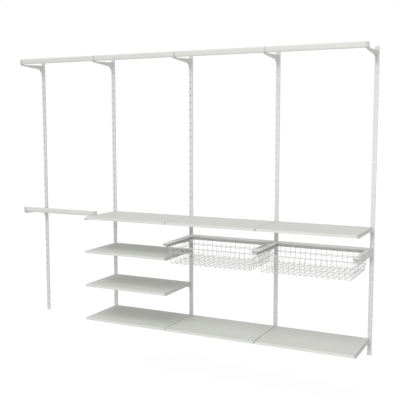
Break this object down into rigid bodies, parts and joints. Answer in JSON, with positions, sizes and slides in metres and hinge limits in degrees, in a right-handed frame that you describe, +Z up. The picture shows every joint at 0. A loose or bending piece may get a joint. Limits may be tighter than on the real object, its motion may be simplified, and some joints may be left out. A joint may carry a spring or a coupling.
{
  "type": "wall mounted closet system",
  "caption": "White steel wall closet: slotted uprights carry hooked brackets with hanging rods, pressed steel shelves and pull-out wire baskets.",
  "frame": {"origin": "on the wall plane, at the foot of the middle upright", "axes": "+X along the wall to the right as seen from the room, +Y into the wall, +Z up"},
  "size_m": [2.599, 0.405, 1.9629],
  "materials": {
    "painted_steel": "satin white powder coat",
    "rod_steel": "smooth white powder coat",
    "shelf_steel": "fine-textured white powder coat",
    "wire_steel": "white coated wire",
    "cap_plastic": "moulded white plastic"
  },
  "bodies": {
    "wall_system": {"upright_1": "painted_steel", "upright_2": "painted_steel", "upright_3": "painted_steel", "upright_4": "painted_steel", "upright_5": "painted_steel", "rod_bracket_top_1": "painted_steel", "rod_bracket_top_2": "painted_steel", "rod_bracket_top_3": "painted_steel", "rod_bracket_top_4": "painted_steel", "rod_bracket_top_5": "painted_steel", "rod_top_1": "rod_steel", "rod_top_2": "rod_steel", "rod_top_3": "rod_steel", "rod_top_4": "rod_steel", "rod_cap_top_left": "cap_plastic", "rod_cap_top_right": "cap_plastic", "rod_bracket_low": "painted_steel", "rod_low": "rod_steel", "rod_cap_low_left": "cap_plastic", "rod_cap_low_right": "cap_plastic", "rod_saddle_low": "cap_plastic", "shelf_bracket_top_2": "painted_steel", "shelf_bracket_top_3": "painted_steel", "shelf_bracket_top_4": "painted_steel", "shelf_bracket_top_5": "painted_steel", "shelf_top_2": "shelf_steel", "shelf_top_3": "shelf_steel", "shelf_top_4": "shelf_steel", "shelf_bracket_upper_mid_2": "painted_steel", "shelf_bracket_upper_mid_3": "painted_steel", "shelf_upper_mid_2": "shelf_steel", "shelf_bracket_lower_mid_2": "painted_steel", "shelf_bracket_lower_mid_3": "painted_steel", "shelf_lower_mid_2": "shelf_steel", "shelf_bracket_bottom_2": "painted_steel", "shelf_bracket_bottom_3": "painted_steel", "shelf_bracket_bottom_4": "painted_steel", "shelf_bracket_bottom_5": "painted_steel", "shelf_bottom_2": "shelf_steel", "shelf_bottom_3": "shelf_steel", "shelf_bottom_4": "shelf_steel", "basket_bracket_3": "painted_steel", "basket_bracket_4": "painted_steel", "basket_bracket_5": "painted_steel", "basket_runner_left_3": "painted_steel", "basket_runner_right_3": "painted_steel", "basket_back_rail_3": "painted_steel", "basket_runner_left_4": "painted_steel", "basket_runner_right_4": "painted_steel", "basket_back_rail_4": "painted_steel"},
    "left_basket": {"basket_3": "wire_steel"},
    "right_basket": {"basket_4": "wire_steel"}
  },
  "joints": [
    {"name": "left_basket_slide", "type": "slide", "parent": "wall_system", "child": "left_basket", "axis": [0, -1, 0], "range_m": [0, 0.25]},
    {"name": "right_basket_slide", "type": "slide", "parent": "wall_system", "child": "right_basket", "axis": [0, -1, 0], "range_m": [0, 0.25]}
  ]
}
